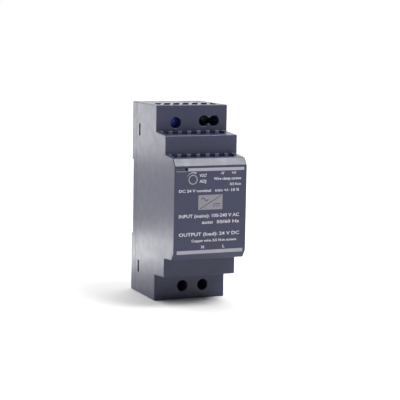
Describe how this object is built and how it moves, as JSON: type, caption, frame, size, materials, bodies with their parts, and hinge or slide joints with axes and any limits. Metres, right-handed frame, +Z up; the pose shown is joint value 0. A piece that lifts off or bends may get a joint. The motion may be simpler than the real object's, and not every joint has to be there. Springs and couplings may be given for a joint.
{
  "type": "din rail power supply",
  "caption": "Stepped modular power supply for a 35 mm rail, with vented grey cover, recessed clamp terminals, voltage trimmer and spring-loaded rail clip.",
  "frame": {"origin": "middle of the rail seat: on the plane the rail's lips lie against, halfway across the width and on the rail's centre line", "axes": "+X to the right seen from the front, +Y towards the back, into the rail, so the front faces -Y, +Z up"},
  "size_m": [0.035, 0.0545, 0.09],
  "materials": {
    "cover_plastic": "satin dark blue-grey moulded plastic",
    "base_plastic": "satin dark blue-grey moulded plastic",
    "clip_plastic": "satin black moulded plastic",
    "spring_steel": "drawn spring wire",
    "light_pipe": "clear moulded light guide",
    "led_body": "small clear LED package",
    "circuit_board": "green solder mask on glass-epoxy",
    "black_plastic": "moulded black encapsulation",
    "trimmer_blue": "blue moulded trimmer case",
    "trimmer_rotor_plastic": "dark rotor with a cross slot",
    "terminal_plastic": "moulded terminal block",
    "screw_steel": "dark plated steel",
    "cage_brass": "nickel plated brass",
    "contact_brass": "tinned brass",
    "disc_coating": "blue epoxy coated disc",
    "thermistor_coating": "dark coated disc",
    "film_yellow": "yellow moulded film capacitor box",
    "film_red": "red-brown film capacitor box",
    "core_coating": "green coated ferrite ring",
    "copper_wire": "enamelled copper wire",
    "capacitor_sleeve": "shrink sleeve over an aluminium can",
    "output_capacitor_sleeve": "shrink sleeve over an aluminium can",
    "heatsink_aluminium": "mill finish sheet",
    "ferrite": "sintered ferrite",
    "transformer_tape": "yellow polyester tape",
    "barrier_film": "translucent insulating film"
  },
  "bodies": {
    "housing": {"front_cover": "cover_plastic", "rear_base": "base_plastic", "clip_spring": "spring_steel", "indicator_light_pipe": "light_pipe", "indicator_led": "led_body", "control_board": "circuit_board", "control_board_header": "black_plastic", "regulator_chip": "black_plastic", "trimmer_body": "trimmer_blue", "output_terminal_body": "terminal_plastic", "input_terminal_body": "terminal_plastic", "input_fuse": "black_plastic", "varistor": "disc_coating", "inrush_thermistor": "thermistor_coating", "filter_capacitor": "film_yellow", "choke_core": "core_coating", "choke_winding_a": "copper_wire", "choke_winding_b": "copper_wire", "bridge_rectifier": "black_plastic", "bulk_capacitor_a": "capacitor_sleeve", "bulk_capacitor_b": "capacitor_sleeve", "supply_capacitor": "capacitor_sleeve", "switching_transistor": "black_plastic", "primary_heatsink": "heatsink_aluminium", "y_capacitor": "disc_coating", "transformer_core_front": "ferrite", "transformer_core_rear": "ferrite", "transformer_bobbin": "black_plastic", "transformer_winding": "transformer_tape", "optocoupler": "black_plastic", "snubber_capacitor": "film_red", "output_rectifier": "black_plastic", "output_heatsink": "heatsink_aluminium", "output_capacitor_a": "output_capacitor_sleeve", "output_capacitor_b": "output_capacitor_sleeve", "output_capacitor_c": "output_capacitor_sleeve", "output_inductor": "ferrite", "main_board": "circuit_board", "insulating_barrier": "barrier_film", "output_contact_negative": "contact_brass", "output_contact_positive": "contact_brass", "input_contact_neutral": "contact_brass", "input_contact_live": "contact_brass"},
    "rail_clip": {"din_clip": "clip_plastic"},
    "voltage_rotor": {"trimmer_rotor": "trimmer_rotor_plastic"},
    "output_negative_screw": {"output_screw_negative": "screw_steel"},
    "output_negative_cage": {"output_cage_negative": "cage_brass"},
    "output_positive_screw": {"output_screw_positive": "screw_steel"},
    "output_positive_cage": {"output_cage_positive": "cage_brass"},
    "input_neutral_screw": {"input_screw_neutral": "screw_steel"},
    "input_neutral_cage": {"input_cage_neutral": "cage_brass"},
    "input_live_screw": {"input_screw_live": "screw_steel"},
    "input_live_cage": {"input_cage_live": "cage_brass"}
  },
  "joints": [
    {"name": "clip_release", "type": "slide", "parent": "housing", "child": "rail_clip", "axis": [0, 0, -1], "range_m": [0, 0.0035], "stiffness_N_per_m": 300, "springref_m": -0.004, "deforming": ["clip_spring"]},
    {"name": "voltage_adjust", "type": "hinge", "parent": "housing", "child": "voltage_rotor", "pos_m": [-0.0081, -0.024, 0.0369], "axis": [0, 1, 0], "range_deg": [-135, 135]},
    {"name": "output_negative_screw_turn", "type": "hinge", "parent": "housing", "child": "output_negative_screw", "pos_m": [0.00586, -0.0168, 0.0376], "axis": [0, 1, 0], "range_deg": [0, 1872]},
    {"name": "output_negative_cage_lift", "type": "slide", "parent": "housing", "child": "output_negative_cage", "axis": [0, -1, 0], "range_m": [0, 0.0026]},
    {"name": "output_positive_screw_turn", "type": "hinge", "parent": "housing", "child": "output_positive_screw", "pos_m": [0.01094, -0.0168, 0.0376], "axis": [0, 1, 0], "range_deg": [0, 1872]},
    {"name": "output_positive_cage_lift", "type": "slide", "parent": "housing", "child": "output_positive_cage", "axis": [0, -1, 0], "range_m": [0, 0.0026]},
    {"name": "input_neutral_screw_turn", "type": "hinge", "parent": "housing", "child": "input_neutral_screw", "pos_m": [-0.00358, -0.0168, -0.0387], "axis": [0, 1, 0], "range_deg": [0, 1872]},
    {"name": "input_neutral_cage_lift", "type": "slide", "parent": "housing", "child": "input_neutral_cage", "axis": [0, -1, 0], "range_m": [0, 0.0026]},
    {"name": "input_live_screw_turn", "type": "hinge", "parent": "housing", "child": "input_live_screw", "pos_m": [0.00658, -0.0168, -0.0387], "axis": [0, 1, 0], "range_deg": [0, 1872]},
    {"name": "input_live_cage_lift", "type": "slide", "parent": "housing", "child": "input_live_cage", "axis": [0, -1, 0], "range_m": [0, 0.0026]}
  ],
  "couplings": [
    {"joint": "output_negative_screw_turn", "follows": "output_negative_cage_lift", "rad_per_m": 12566},
    {"joint": "output_positive_screw_turn", "follows": "output_positive_cage_lift", "rad_per_m": 12566},
    {"joint": "input_neutral_screw_turn", "follows": "input_neutral_cage_lift", "rad_per_m": 12566},
    {"joint": "input_live_screw_turn", "follows": "input_live_cage_lift", "rad_per_m": 12566}
  ]
}
